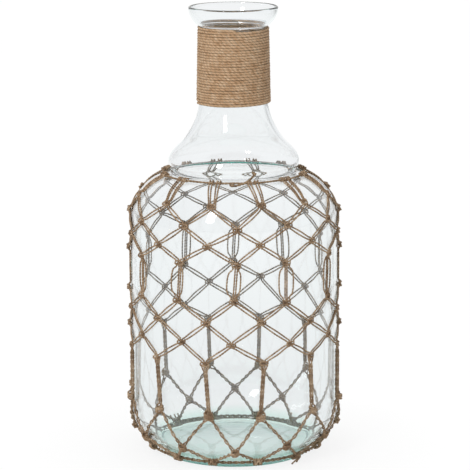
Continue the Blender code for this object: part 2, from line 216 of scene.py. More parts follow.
# %% [markdown]
# ## Green where the glass collects
# A blown bottle keeps most of its glass in its floor and heel, where light runs sideways through it
# and comes out green. The volume alone doesn't show that well, so these two are tinted on their faces
# too. The foot is ground flat, so its underside is frosted as well, and the floor shows as one soft
# disc. It is palest in a patch behind its middle, with swirls where the hot glass was turned.

# %% Frost the ground face and tint the floor
GROUND_HEIGHT, GROUND_ROUGHNESS = 2.3 * MM, 0.4
PALE_MIDDLE, PALE_EDGES = 18 * MM, (48 * MM, 78 * MM)
SWIRL_SIZE, SWIRL_SHARE = 30 * MM, 0.3

split = add_node(tree, "SeparateXYZ", {"Vector": place})
ground = add_node(tree, "Math", {0: split.outputs["Z"]}, {1: GROUND_HEIGHT}, operation="LESS_THAN")
frost = add_node(tree, "Math", {0: ground.outputs["Value"]}, {1: GROUND_ROUGHNESS}, operation="MULTIPLY")
tree.links.new(frost.outputs["Value"], shader.inputs["Roughness"])
patch = add_node(tree, "Mapping", {"Vector": place}, {"Location": (0.0, -PALE_MIDDLE, 0.0)})
away = add_node(tree, "VectorMath", {0: patch.outputs["Vector"]}, operation="LENGTH")
rim = add_node(tree, "MapRange", {"Value": away.outputs["Value"]}, dict(zip(RANGE, PALE_EDGES)))
stirred = {"Scale": 1 / SWIRL_SIZE, "Detail": 2.0, "Roughness": 0.5, "Distortion": 1.5}
turned = add_node(tree, "TexNoise", {"Vector": place}, stirred)
swirl_stretch = (0.35, 0.65, -SWIRL_SHARE, SWIRL_SHARE)
swirls = add_node(tree, "MapRange", {"Value": turned.outputs["Fac"]}, dict(zip(RANGE, swirl_stretch)))
both = {0: rim.outputs["Result"], 1: swirls.outputs["Result"]}
depth = add_node(tree, "Math", both, operation="ADD", use_clamp=True)
# Sockets 6 and 7 of a Mix node are its two colours.
floor_tones = {6: linear("#e2f7f1"), 7: linear("#b8ebdc")}
floor_tint = add_node(tree, "Mix", {"Factor": depth.outputs["Value"]}, floor_tones, data_type="RGBA")
print(f"ground face: all that lies under {GROUND_HEIGHT / MM:.1f} mm, swirls of {SWIRL_SIZE / MM:.0f} mm")

# %% [markdown]
# ## A green heel
# The heel is the thick edge of the floor. Its tint grows from its top to its bottom, and leaves out
# the floor inside it. One Map Range node reads the height and one the radius, which keeps both edges
# soft. A second material on the heel's faces would end in a hard line.

# %% Tint the heel and dress the bottle
HEEL_HEIGHTS, HEEL_RADII = (3 * MM, 18 * MM), (68 * MM, 76 * MM)

low = add_node(tree, "MapRange", {"Value": split.outputs["Z"]}, dict(zip(RANGE, (*HEEL_HEIGHTS, 1.0, 0.0))))
flat = add_node(tree, "VectorMath", {0: place}, {1: (1.0, 1.0, 0.0)}, operation="MULTIPLY")
radius = add_node(tree, "VectorMath", {0: flat.outputs["Vector"]}, operation="LENGTH")
both = {"Value": radius.outputs["Value"], "To Max": low.outputs["Result"]}
heel = add_node(tree, "MapRange", both, dict(zip(RANGE, HEEL_RADII)))
heel_tones = {6: linear("#ffffff"), 7: linear("#c3ebdd")}
heel_tint = add_node(tree, "Mix", {"Factor": heel.outputs["Result"]}, heel_tones, data_type="RGBA")
tints = {"Factor": ground.outputs["Value"], 6: heel_tint.outputs[2], 7: floor_tint.outputs[2]}
tint = add_node(tree, "Mix", tints, data_type="RGBA")
tree.links.new(tint.outputs[2], shader.inputs["Base Color"])
bottle = add_object("bottle_glass", glass_mesh, glass)
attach(bottle, "root")
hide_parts("glass_bottle")
print(f"heel: green from {HEEL_HEIGHTS[1] / MM:.0f} mm down")

# %% [markdown]
# ## Jute twine
# Jute is a stiff, hairy plant fibre. It is spun into a yarn, and two yarns are laid into twine, so a
# strand has two plies that wind round each other. The plies are real shape here: a bevel profile of
# two lobes follows the strand's line and turns as it goes. The material adds the fibres, as fine
# streaks along the plies, and painted shade in the grooves between the plies. Each twine's UV map
# serves both: it runs once round the twine, and along it in millimetres.

# %% Fibres, and painted shade in the ply grooves and in the valleys between turns
# A jute fibre is 0.05 mm thick. It is drawn as a streak of 0.4 mm by 4 mm, so that it shows.
STREAK_WIDTH, STREAK_LENGTH = 0.4, 4.0
# A stretch in metres over the neck's glass, and the painted shade at its ends, outside and
# inside a valley
VALLEY_SIDES = ((0.0016, 0.0023, 0.25, 1.0), (0.0008, 0.0013, 0.85, 0.25))


def fibre_streaks(tree, way, thickness):
    """Noise drawn out along the twine, from its UV map."""
    scale = (math.pi * thickness / STREAK_WIDTH, 1 / STREAK_LENGTH, 1.0)
    drawn_out = add_node(tree, "Mapping", {"Vector": way}, {"Scale": scale})
    grain = {"Scale": 1.0, "Detail": 2.0, "Roughness": 0.6}
    streaks = add_node(tree, "TexNoise", {"Vector": drawn_out.outputs["Vector"]}, grain)
    return streaks.outputs["Fac"]


def ply_shade(tree, way, groove_shade):
    """Painted shade in the ply grooves, at a quarter and three quarters of the way round the twine."""
    split = add_node(tree, "SeparateXYZ", {"Vector": way})
    turn = add_node(tree, "Math", {0: split.outputs["X"]}, {1: math.tau}, operation="MULTIPLY")
    swing = add_node(tree, "Math", {0: turn.outputs["Value"]}, operation="COSINE")
    crest = add_node(tree, "Math", {0: swing.outputs["Value"]}, operation="ABSOLUTE")
    shades = dict(zip(RANGE, (0.0, 0.7, groove_shade, 1.0)))
    return add_node(tree, "MapRange", {"Value": crest.outputs["Value"]}, shades).outputs["Result"]


def valley_shade(tree, place):
    """Painted shade in the valleys between the neck's turns, found by how far a point is from the glass."""
    spot = add_node(tree, "SeparateXYZ", {"Vector": place})
    flat = add_node(tree, "CombineXYZ", {axis: spot.outputs[axis] for axis in "XY"})
    radius = add_node(tree, "VectorMath", {0: flat.outputs["Vector"]}, operation="LENGTH")
    neck_sizes = [size * MM for size in (NECK_FOOT[1], NECK_TOP[1], NECK_FOOT[0], NECK_TOP[0])]
    neck = add_node(tree, "MapRange", {"Value": spot.outputs["Z"]}, dict(zip(RANGE, neck_sizes)))
    both = {0: radius.outputs["Value"], 1: neck.outputs["Result"]}
    over = add_node(tree, "Math", both, operation="SUBTRACT").outputs["Value"]
    sides = [add_node(tree, "MapRange", {"Value": over}, dict(zip(RANGE, side))) for side in VALLEY_SIDES]
    shades = {socket: side.outputs["Result"] for socket, side in enumerate(sides)}
    return add_node(tree, "Math", shades, operation="MAXIMUM").outputs["Value"]


print(f"fibres drawn {STREAK_WIDTH} mm by {STREAK_LENGTH} mm")

# %% [markdown]
# ## Three jutes
# The twine round the neck is the palest, that of the net is browner, and that of the rings is a shade
# darker still. All three are one material in other tones: streaky fibres that change from plant to
# plant, and painted shade in the grooves between the plies. Only the wound one also has painted shade
# in the valleys between its turns.

# %% Make the jute materials
WOUND_TWINE, STRAND, RING_TWINE = 2.75, 1.65, 2.0
PLANT_PATCH, FIBRE_RELIEF = 7 * MM, 0.2 * MM


def jute(name, thickness, patchy, tones, groove_shade=0.4, wound=False):
    """Natural jute, dry and matt, in three tones from dark to light."""
    material, tree, shader = new_material(name, Roughness=0.85, Sheen_Weight=0.2, Sheen_Roughness=0.5)
    shader.inputs["Sheen Tint"].default_value = linear("#e8cfae")
    way = add_node(tree, "UVMap", uv_map="UVMap").outputs["UV"]
    place = add_node(tree, "TexCoord").outputs["Object"]
    fibres = fibre_streaks(tree, way, thickness)
    plants = {"Scale": 1 / PLANT_PATCH, "Detail": 3.0, "Roughness": 0.7}
    patches = add_node(tree, "TexNoise", {"Vector": place}, plants)
    mixed = add_node(tree, "Mix", {"A": fibres, "B": patches.outputs["Fac"]}, {"Factor": patchy})
    colours = add_node(tree, "ValToRGB", {"Fac": mixed.outputs["Result"]})
    dark, middle, light = (linear(tone) for tone in tones)
    stops = colours.color_ramp.elements
    stops[0].position, stops[0].color = 0.36, dark
    stops[1].position, stops[1].color = 0.64, light
    stops.new(0.5).color = middle
    # Painted shade: darker in the grooves between the plies, and on the neck in the valleys between turns.
    shade = ply_shade(tree, way, groove_shade)
    if wound:
        valleys = valley_shade(tree, place)
        both = add_node(tree, "Math", {0: shade, 1: valleys}, operation="MULTIPLY")
        shade = both.outputs["Value"]
    shaded_colours = add_node(tree, "VectorMath", {0: colours.outputs["Color"], "Scale": shade}, operation="SCALE")
    tree.links.new(shaded_colours.outputs["Vector"], shader.inputs["Base Color"])
    bump = add_node(tree, "Bump", {"Height": fibres}, {"Strength": 0.7, "Distance": FIBRE_RELIEF})
    tree.links.new(bump.outputs["Normal"], shader.inputs["Normal"])
    return material


neck_tones = ("#a0754f", "#d9b086", "#f8e2c4")
net_tones = ("#6d543c", "#b69676", "#efd6b6")
ring_tones = ("#6f573f", "#ab8d6d", "#dcc09c")
neck_jute = jute("jute_twine_two_ply_wound", WOUND_TWINE, 0.3, neck_tones, groove_shade=0.65, wound=True)
net_jute = jute("jute_twine_two_ply_knotted", STRAND, 0.5, net_tones)
ring_jute = jute("jute_cord_laid", RING_TWINE, 0.5, ring_tones)
print("jute materials:", neck_jute.name, net_jute.name, ring_jute.name)

# %% [markdown]
# ## A strand that follows any line
# Every cord starts as a few points, and a strand under tension runs through them in one smooth line.
# Each span between two points is a Bézier curve whose handles are a third of that span, so short
# spans in a knot and long spans between knots meet without overshooting. At a point the line follows
# the long span beside it more than the short one, so that the ways between knots stay straight. The
# line is then cut into equal steps, and the two-lobed profile turns by about the same angle at each.

# %% Smooth lines and two-ply strands
PLY_TURN, STRAND_STEP = 5.6, 0.75
TWIST_SWAY, SWAY_STEPS = 1.5, 40


def smooth_line(points, step):
    """Points about a step apart on one smooth line through the given points."""
    spans = list(zip(points, points[1:]))
    runs = [after - before for before, after in spans]
    tangents = [runs[0].normalized()]
    for before, after in zip(runs, runs[1:]):
        tangents.append((before + after).normalized())
    tangents.append(runs[-1].normalized())
    line = [points[0]]
    for place, (before, after) in enumerate(spans):
        reach = runs[place].length / 3
        steps = max(2, math.ceil(runs[place].length / step))
        handles = (before + tangents[place] * reach, after - tangents[place + 1] * reach)
        line += interpolate_bezier(before, *handles, after, steps + 1)[1:]
    return line


def even_line(line, step):
    """The line cut into equal steps, with its length."""
    lengths = [0.0]
    for before, after in zip(line, line[1:]):
        lengths.append(lengths[-1] + (after - before).length)
    count = max(2, round(lengths[-1] / step))
    even = []
    for place in range(count + 1):
        goal = min(lengths[-1] * place / count, lengths[-1])
        part = min(bisect_right(lengths, goal) - 1, len(line) - 2)
        share = (goal - lengths[part]) / max(lengths[part + 1] - lengths[part], 1e-9)
        even.append(line[part].lerp(line[part + 1], min(share, 1.0)))
    return even, lengths[-1]


def ply_profile(thickness, groove):
    """A cross section of two plies side by side, as a closed curve. The groove is a share of the radius."""
    outline = bpy.data.curves.new("ply_profile", "CURVE")
    outline.dimensions = "2D"
    spline = outline.splines.new("POLY")
    quarter = [(1.0, 0.0), (0.65, -0.4 - 0.35 * groove), (0.0, -groove)]
    half = [*quarter, (-quarter[1][0], quarter[1][1])]
    corners = [*half, *[(-x, -y) for x, y in half]]
    spline.points.add(len(corners) - 1)
    for point, (x, y) in zip(spline.points, corners):
        point.co = (x * thickness / 2, y * thickness / 2, 0.0, 1.0)
    spline.use_cyclic_u = True
    return bpy.data.objects.new("ply_profile", outline)


def twine(name, lines, thickness, material, closed=False, groove=0.6, ply_turn=PLY_TURN, step=STRAND_STEP):
    """One mesh of two-ply twine along lines of points in metres, with the length of the lines."""
    profile = ply_profile(thickness * MM, groove)
    curve = bpy.data.curves.new(name, "CURVE")
    curve.dimensions = "3D"
    curve.bevel_mode = "OBJECT"
    curve.bevel_object = profile
    curve.use_fill_caps = True
    whole = []
    for line in lines:
        even, length = even_line(line, step * MM)
        if closed:
            even = even[:-1]
        spline = curve.splines.new("POLY")
        spline.points.add(len(even) - 1)
        spline.use_cyclic_u = closed
        turns = length / (ply_turn * MM)
        turns = round(turns) if closed else turns
        for place, (point, co) in enumerate(zip(spline.points, even)):
            # The twist is tighter here and looser there, except in a ring, which must meet itself.
            wander = noise.noise(Vector((place / SWAY_STEPS, 0.5, 0.5)))
            sway = 0.0 if closed else TWIST_SWAY * wander
            point.co = (*co, 1.0)
            # A point's tilt ends at 60 turns, so whole turns are left off.
            point.tilt = (math.tau * turns * place / len(even) + sway) % math.tau
        whole.append(length)
    drawn = bpy.data.objects.new(name, curve)
    scene.collection.objects.link(drawn)
    mesh = bpy.data.meshes.new_from_object(drawn.evaluated_get(bpy.context.evaluated_depsgraph_get()))
    mesh.name = name
    for thing in (drawn, profile):
        bpy.data.objects.remove(thing)
    # A curve's own UV map runs from 0 to 1 along it and then round it. The jutes need it the other way.
    along = sum(whole) / len(whole) / MM
    for corner in mesh.uv_layers["UVMap"].uv:
        corner.vector = (corner.vector.y, corner.vector.x * along)
    piece = add_object(name, mesh, material)
    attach(piece, "root")
    return piece, sum(whole)


print(f"two plies turn once in {PLY_TURN} mm")

# %% [markdown]
# ## The wound neck
# About 28 turns of twine cover the neck. They lie 2.5 mm apart, and the twine is 2.75 mm thick, so the
# turns press together. They were wound by hand, so each turn wanders a little up, down and outwards. A
# spiral with a slow noise on it gives that, where 28 separate rings would look stacked.

# %% Wind the neck
WOUND_PLY_TURN, WOUND_GROOVE, WOUND_STEP = 8.5, 0.92, 1.0
WINDING_START, WINDING_END = -0.22, 28.0
TURN_POINTS = 40
DRIFT, SWELL, LAST_CLIMB = 0.25, 0.2, 2.3
# The end is tucked in: right, up and inward from where the last turn stops
TUCK = ((1.5, -1.2, -0.4), (2.6, -2.6, -1.0))

upper_radii, upper_heights = zip(*upper_side)


def winding_line():
    """The middle line of the wound twine, from the bottom turn up to its tucked end."""
    line = []
    low, high = NECK_FOOT[1] - 1.0 + WOUND_TWINE / 2, NECK_TOP[1] + 0.5 - WOUND_TWINE / 2
    steps = round((WINDING_END - WINDING_START) * TURN_POINTS)
    for step in range(steps + 1):
        share = step / steps
        turn = math.tau * (WINDING_START + share * (WINDING_END - WINDING_START))
        spot = Vector((1.6 * math.cos(turn), 1.6 * math.sin(turn), share * 40))
        drift, swell = noise.noise(spot), noise.noise(spot + Vector((7.0, 3.0, 1.0)))
        # The last turns climb the lip at the back.
        climb = LAST_CLIMB * share**24 * (1 - math.cos(turn)) / 2
        height = low + share * (high - low) + DRIFT * drift + climb
        radius = np.interp(height, upper_heights, upper_radii) + WOUND_TWINE / 2 + 0.05 + SWELL * swell
        line.append(Vector((radius * math.sin(turn), -radius * math.cos(turn), height)) * MM)
    return line + [line[-1] + Vector((right, -inward, up)) * MM for right, up, inward in TUCK]


plies = {"groove": WOUND_GROOVE, "ply_turn": WOUND_PLY_TURN, "step": WOUND_STEP}
winding, length = twine("neck_winding_twine", [winding_line()], WOUND_TWINE, neck_jute, **plies)
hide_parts("neck_winding")
print(f"neck winding: {WINDING_END - WINDING_START:.1f} turns, {length:.2f} m of twine, ", end="")
print(f"{len(winding.data.polygons)} faces")

# %% [markdown]
# ## Finding a place on the glass
# The net lies on the bottle, so its points are given as a map gives them: an angle round the bottle,
# a length down the glass from the groove, and a lift over the surface. One function turns such a
# place into a point in space. Angle 0 is the front, and angles grow to the right.

# %% Places on the skin of the glass
MAP_STEP = 0.7

skin = lower_side[::-1]
skin_lengths = [0.0]
for before, after in zip(skin, skin[1:]):
    skin_lengths.append(skin_lengths[-1] + math.dist(before, after))


def skin_facing(spot):
    """The outward direction at one point of the outline."""
    before, after = skin[max(spot - 1, 0)], skin[min(spot + 1, len(skin) - 1)]
    run = (Vector(after) - Vector(before)).normalized()
    return Vector((-run.y, run.x))


def on_skin(station, lift=0.0):
    """(radius, height) in millimetres over the glass, a length down from the groove."""
    part = min(max(bisect_right(skin_lengths, station) - 1, 0), len(skin) - 2)
    share = (station - skin_lengths[part]) / (skin_lengths[part + 1] - skin_lengths[part])
    point = Vector(skin[part]).lerp(Vector(skin[part + 1]), share)
    facing = skin_facing(part).lerp(skin_facing(part + 1), min(max(share, 0.0), 1.0)).normalized()
    return point.x + lift * facing.x, point.y + lift * facing.y


def in_space(place):
    """The point in metres of a place: (angle, station, lift)."""
    radius, height = on_skin(place[1], place[2])
    return Vector((radius * math.sin(place[0]), -radius * math.cos(place[0]), height)) * MM


def map_line(places):
    """A smooth line over the glass through places, in metres."""
    scale = SHOULDER[0]
    flat = [Vector((angle * scale, station, lift)) for angle, station, lift in places]
    return [in_space((point.x / scale, point.y, point.z)) for point in smooth_line(flat, MAP_STEP)]


print(f"skin: {skin_lengths[-1]:.1f} mm from the groove to the edge of the foot")

# %% [markdown]
# ## Where the knots sit
# The net has twelve columns of knots and ten rows of them between its two ring cords. Every other row
# is shifted by half a column, which opens the diamonds. It was tied by hand, so no knot sits quite in
# its row. The knots on the front are shifted by amounts measured there, right and down in
# millimetres, and those behind by a like amount from a seeded dice.

# %% Lay out the knots
COLUMNS = 12
HALF_COLUMN = math.pi / COLUMNS
# Lengths down the glass from the groove
ROW_STATIONS = (8.6, 38.0, 57.8, 73.7, 90.6, 127.8, 145.6, 165.2, 181.5, 231.1, 263.6, 285.2)
SHIFTED_ROWS = (0, 1, 3, 6, 8, 9, 11)
RING_ROW, BALL_ROW, HEEL_ROW, FOOT_ROW = 0, 9, 10, 11
HAND_SPREAD = 1.3
# Right and down in millimetres. Columns are counted in halves: 0 is the front, 2 is 30 degrees right.
HAND_SHIFTS = {
    1: {-3: (4.5, 1.0), -1: (3.5, 0.5), 1: (1.5, 0.0), 3: (-0.5, 1.0)},
    2: {-4: (1.5, 1.0), -2: (4.0, -1.0), 0: (3.0, 1.0), 2: (0.0, -1.0), 4: (1.0, 0.0)},
    3: {-3: (1.5, 2.5), -1: (1.5, 0.0), 1: (-2.0, -1.0), 3: (0.5, 0.0)},
    4: {-4: (1.5, 0.0), -2: (0.0, -0.5), 0: (2.0, 0.0), 2: (-2.5, 0.0), 4: (2.0, -1.0)},
    5: {-4: (1.0, 0.0), -2: (-2.5, -2.5), 0: (-0.5, -3.5), 2: (-2.5, -0.5), 4: (0.0, 2.5)},
    6: {-3: (0.0, -0.5), -1: (-0.5, -1.0), 1: (-1.0, -1.5), 3: (-1.0, 2.5)},
    7: {-4: (1.0, 0.0), -2: (1.5, -1.5), 0: (-3.0, -1.0), 2: (1.5, 0.5), 4: (1.0, 0.5)},
    8: {-3: (-1.5, 1.0), -1: (-1.5, 1.0), 1: (1.0, 0.5), 3: (-1.0, -0.5)},
    9: {-3: (2.5, -0.5), -1: (2.0, 0.0), 1: (-2.5, 1.0), 3: (1.0, 1.5)},
    10: {-4: (-1.5, 0.0), -2: (-1.0, 1.0), 0: (0.0, 3.5), 2: (-0.5, -1.0), 4: (1.5, -1.5), 12: (0.0, -8.0)},
    11: {-3: (5.0, 0.0)},
}

dice = random.Random(11)


def knot_places():
    """(row, column) to (angle, station) for every knot, columns counted in halves from -11 to 12."""
    places = {}
    for row, station in enumerate(ROW_STATIONS):
        for column in range(1 - COLUMNS, COLUMNS + 1):
            if (column % 2 == 1) != (row in SHIFTED_ROWS):
                continue
            right, down = HAND_SHIFTS.get(row, {}).get(column, (None, None))
            if right is None:
                loose = 0.0 if row in (RING_ROW, FOOT_ROW) else HAND_SPREAD
                right, down = dice.gauss(0.0, loose), dice.gauss(0.0, loose)
            angle = column * HALF_COLUMN + right / on_skin(station)[0]
            places[row, column] = (angle, station + down)
    return places


knots = knot_places()
print(f"{len(knots)} knots, ties and lark's heads, {math.degrees(2 * HALF_COLUMN):.0f} degrees apart")

# %% [markdown]
# ## How a strand runs through a knot
# Four strands meet at each knot. In a square knot the two middle ones run straight through and the
# two outer ones tie round them: each crosses in front, dips behind and comes back. The points below
# are such runs, in strand widths right, up and out of the glass. They are drawn from a knot tied in
# string. The right half of the front bars belongs to the left strand, so the halves differ.

# %% Runs of the strands
KNOT_SCALE = (1.6, 1.95, 1.5)
CORE_RUN = ((-0.55, 1.3, 1.3), (-0.5, 0.0, 1.45), (-0.55, -1.3, 1.3))
FRONT_RUN = (
    (-1.8, 0.8, 1.6), (-0.7, 0.95, 2.25), (0.7, 0.85, 2.3),
    (1.75, 0.6, 1.75), (2.3, 0.05, 1.4), (1.75, -0.6, 1.8),
    (0.7, -0.9, 2.3), (-0.7, -0.95, 2.25), (-1.8, -0.8, 1.6),
)
BACK_RUN = (
    (2.0, 0.85, 1.9), (1.4, 0.5, 1.5), (0.5, 0.3, 0.6), (-0.5, 0.3, 0.6),
    (-1.6, 0.4, 1.0), (-2.3, 0.6, 1.8), (-2.45, 0.0, 2.0), (-2.1, -0.75, 2.4),
    (-1.4, -0.4, 1.4), (-0.5, -0.35, 0.6), (0.5, -0.35, 0.6), (1.4, -0.5, 1.0),
    (2.0, -0.8, 1.5),
)
ROLES = ("front", "left_core", "right_core", "back")


def square_run(role):
    """A run of a square knot, in millimetres."""
    run = {"front": FRONT_RUN, "back": BACK_RUN}.get(role, CORE_RUN)
    mirror = -1 if role == "right_core" else 1
    return [(x * mirror * KNOT_SCALE[0], y * KNOT_SCALE[1], z * KNOT_SCALE[2]) for x, y, z in run]


def ball_run(role, width, depth, height, tilt):
    """A run of a round knot, in millimetres: the middle strands go through, the outer ones wrap."""
    side = -1 if role in ROLES[:2] else 1
    if "core" in role:
        ends = height / 2 + 0.8
        return [(side * 0.9, ends, 1.5), (side * 0.8, 0.0, 2.3), (side * 0.9, -ends, 1.5)]
    turns = 3 if role == "front" else 2
    run = []
    for step in range(turns * 8 + 1):
        share = step / (turns * 8)
        angle = side * math.tau * turns * share
        swell = math.sqrt(1.0 - (1.3 * (share - 0.5)) ** 2) * width / 2
        x, z = side * swell * math.cos(angle), depth / 2 * math.sin(angle) * side
        run.append((x, height * (0.5 - share) + tilt * x, 1.0 + depth / 2 - z))
    return run


knot_half = max(x for x, _, _ in square_run("front"))
print(f"a square knot is about {2 * knot_half + STRAND:.1f} mm wide")

# %% [markdown]
# ## Between two knots
# Two strands run side by side between the diamonds' knots. Below the fourth row an upright ladder has
# two straight strands in its middle and two that bow out. Below the eighth row all four are twisted
# into a rope, and below the round knots each pair is. Each way is a short list of places beside the
# straight line between its two knots.

# %% Straight, bowed and twisted strands
KNOT_REACH, PAIR_HALF = 4.4, 1.35
FLAT_LIFT = 0.55 * STRAND
END_HALVES = {"front": 0.7, "left_core": 1.5, "right_core": 1.5, "back": 0.7}
# How far the ladder's strands stand off its middle: the inner two, and the outer two left and right
LADDER_CORE, LADDER_REACHES = 0.95, (4.2, 18.0, -4.2)
BOWS = {-4: (5.5, 5.5), -2: (8.5, 3.5), 0: (7.5, 4.7), 2: (7.1, 7.8), 4: (6.5, 6.5)}
BOW_SHAPE = ((3.9, 0.42), (8.0, 0.86), (18.0, 1.0), (-8.0, 0.86), (-3.9, 0.42))


def tilted(run, angle):
    """A run turned a little about its knot's middle."""
    turn = Matrix.Rotation(angle, 2)
    return [(*(turn @ Vector((x, y))), z) for x, y, z in run]


def to_places(run, knot):
    """A run in millimetres as places on the glass round a knot."""
    angle, station = knot
    return [(angle + x / on_skin(station - y)[0], station - y, z) for x, y, z in run]


def beside(upper, lower, distance, side, lift=FLAT_LIFT):
    """The place beside the straight way between two knots, at a distance below the upper one, or, where
    the distance is negative, above the lower one."""
    radius = on_skin((upper[1] + lower[1]) / 2)[0]
    way = Vector(((lower[0] - upper[0]) * radius, lower[1] - upper[1]))
    along = way.normalized()
    distance += way.length if distance < 0 else 0
    x, down = along * distance + Vector((along.y, -along.x)) * side
    return (upper[0] + x / radius, upper[1] + down, lift)


def pair_places(upper, lower, side, leaving, arriving):
    """A strand of a pair that is stretched straight from knot to knot, with its roles in the two."""
    middle = math.hypot((lower[0] - upper[0]) * SHOULDER[0], lower[1] - upper[1]) / 2
    return [
        beside(upper, lower, KNOT_REACH, side * END_HALVES[leaving]),
        beside(upper, lower, middle, side * (PAIR_HALF + dice.uniform(-0.1, 0.4))),
        beside(upper, lower, -KNOT_REACH, side * END_HALVES[arriving]),
    ]


def bow_places(upper, lower, role, column):
    """A strand of the upright ladder: the middle two are straight, the outer ones bow out."""
    side = -1 if role in ROLES[:2] else 1
    if "core" in role:
        return [beside(upper, lower, reach, side * LADDER_CORE) for reach in LADDER_REACHES]
    bow = BOWS.get(column, (dice.uniform(4, 8), dice.uniform(4, 8)))[0 if side < 0 else 1]
    return [beside(upper, lower, reach, side * bow * share) for reach, share in BOW_SHAPE]


def twist_places(upper, lower, reaches, phase, turns, radius):
    """A strand that is twisted with its neighbours from one knot to the next."""
    length = math.hypot((lower[0] - upper[0]) * SHOULDER[0], lower[1] - upper[1])
    start, end = reaches[0], length - reaches[1]
    places = []
    for step in range(turns * 8 + 1):
        share = step / (turns * 8)
        angle = phase + math.tau * turns * share
        lift = 0.5 * STRAND + radius + radius * math.sin(angle)
        places.append(beside(upper, lower, start + share * (end - start), radius * math.cos(angle), lift))
    return places


widest = max(max(bow) for bow in BOWS.values())
print(f"a pair stands {2 * PAIR_HALF} mm apart, a bow up to {widest} mm off its ladder")

# %% [markdown]
# ## Folds and ties
# Each cord is folded in its middle and looped over the top ring as a lark's head: a bar in front, with
# both strands pulled down behind it. At the bottom a strand goes over the lower ring, round it and
# under itself, and what is left is cut. Some cut ends stand up or hang down, as the hand left them.

# %% Loops over the two rings
HEAD_MIDDLE, HEAD_HALF = 3.4, 1.3
TAIL_CHANCE, TAIL_LIFT = 0.8, 3.2
FRONT_ANGLE = math.radians(80)
# Cut ends that hang at the front: how far they lean right, reach up and lift off the glass
FRONT_TAILS = {(3, 1, 0): (-4.5, -3.2, 8.0), (3, 1, 1): (-10.0, -3.5, 8.5)}


def head_places(knot, hand, strand):
    """A lark's head over the top ring, for one strand, from the fold's bar in front down."""
    x = HEAD_HALF * (-1 if strand == 0 else 1)
    run = [
        (0.0, -2.7, 3.1), (x * 0.9, -2.5, 2.9), (x * 1.5, -2.2, 1.9), (x * 1.3, -1.0, 0.6),
        (x * 1.2, 1.0, 0.6), (x * 1.1, 2.2, 1.7), (x * 1.0, 1.1, 3.0), (x * 0.95, -0.5, 3.1),
        (x * 0.95, -2.2, 2.0), (x * 1.0, -4.6, 1.0),
    ]
    return to_places([(px - hand * HEAD_MIDDLE, py, pz) for px, py, pz in run], knot)


def tie_places(knot, column, hand, strand):
    """The tie over the bottom ring and the strand's cut end, which is short or left standing."""
    side = -hand
    x = side * (1.0 + 1.9 * (strand if hand < 0 else 1 - strand))
    run = [
        (x * 1.2, 4.9, 1.3), (x, 3.2, 3.2), (x, 0.2, 5.0),
        (x * 1.1, -2.9, 3.4), (x * 0.9, -3.0, 1.4), (x * 0.5, 0.0, 0.7),
        (x * 0.2, 3.0, 1.8), (-side * 1.2, 2.6, 4.6), (-side * 2.6, 1.0, 5.3),
    ]
    tail = None
    if dice.random() < TAIL_CHANCE:
        tail = (dice.uniform(-4.0, 4.0), dice.choice((-5.0, 6.0, 9.0)), TAIL_LIFT)
    if abs(knot[0]) < FRONT_ANGLE:
        tail = FRONT_TAILS.get((column, hand, strand))
    if tail:
        lean, reach, lift = tail
        run.append((-side * 2.8 + lean * 0.6, 1.0 + reach * 0.4, (5.3 + lift) / 2))
        run.append((-side * 2.8 + lean, 1.0 + reach, lift))
    else:
        run.append((-side * 3.8, -0.8, 3.8))
    return to_places(run, knot)


print(f"{TAIL_CHANCE:.0%} of the ends at the back are left standing")

# %% [markdown]
# ## Cords of the net
# A cord is one strand of twine folded over the top ring, so it hangs as two strands side by side.
# They stay neighbours from knot to knot, and their parts in the knots follow from that: on the left
# half of a knot they are its left outer and left middle strand. So one function follows a strand row
# by row, asks for its way to the next knot and its run through that knot, and joins them.

# %% Draw each cord of the net
# 1 in the rows where a cord is knotted half a column away from its home, else 0
SWINGS = (0, 0, 1, 0, 1, 1, 0, 1, 0, 0, 1, 0)
BOW_ROW = 5
HEAD_OUTS = dict(zip(ROLES, (-2.9, -1.5, 1.5, 2.9)))
ROPE_PHASES = {"front": math.pi, "left_core": 1.5 * math.pi, "right_core": 0.5 * math.pi, "back": 0.0}
ROPE_REACHES, ROPE_TURNS, ROPE_RADIUS = (7.5, 6.0), 2, 1.35
PAIR_REACHES, PAIR_TURNS, PAIR_RADIUS = (5.6, 5.6), 2, 0.9
# Width, depth and height of the round knots
BALL_SIZE, HEEL_BALL_SIZE = (8.2, 5.6, 6.0), (7.0, 4.4, 5.2)

knot_tilts = {spot: dice.gauss(0.0, math.radians(5)) for spot in knots}
ball_tilts = {spot: dice.choice((-0.35, 0.35)) + dice.uniform(-0.1, 0.1) for spot in knots}


def column_at(home, row, hand):
    """The half column, from -11 to 12, in which a cord is knotted at a row."""
    column = home - SWINGS[row] * hand
    return (column + COLUMNS - 1) % (2 * COLUMNS) + 1 - COLUMNS


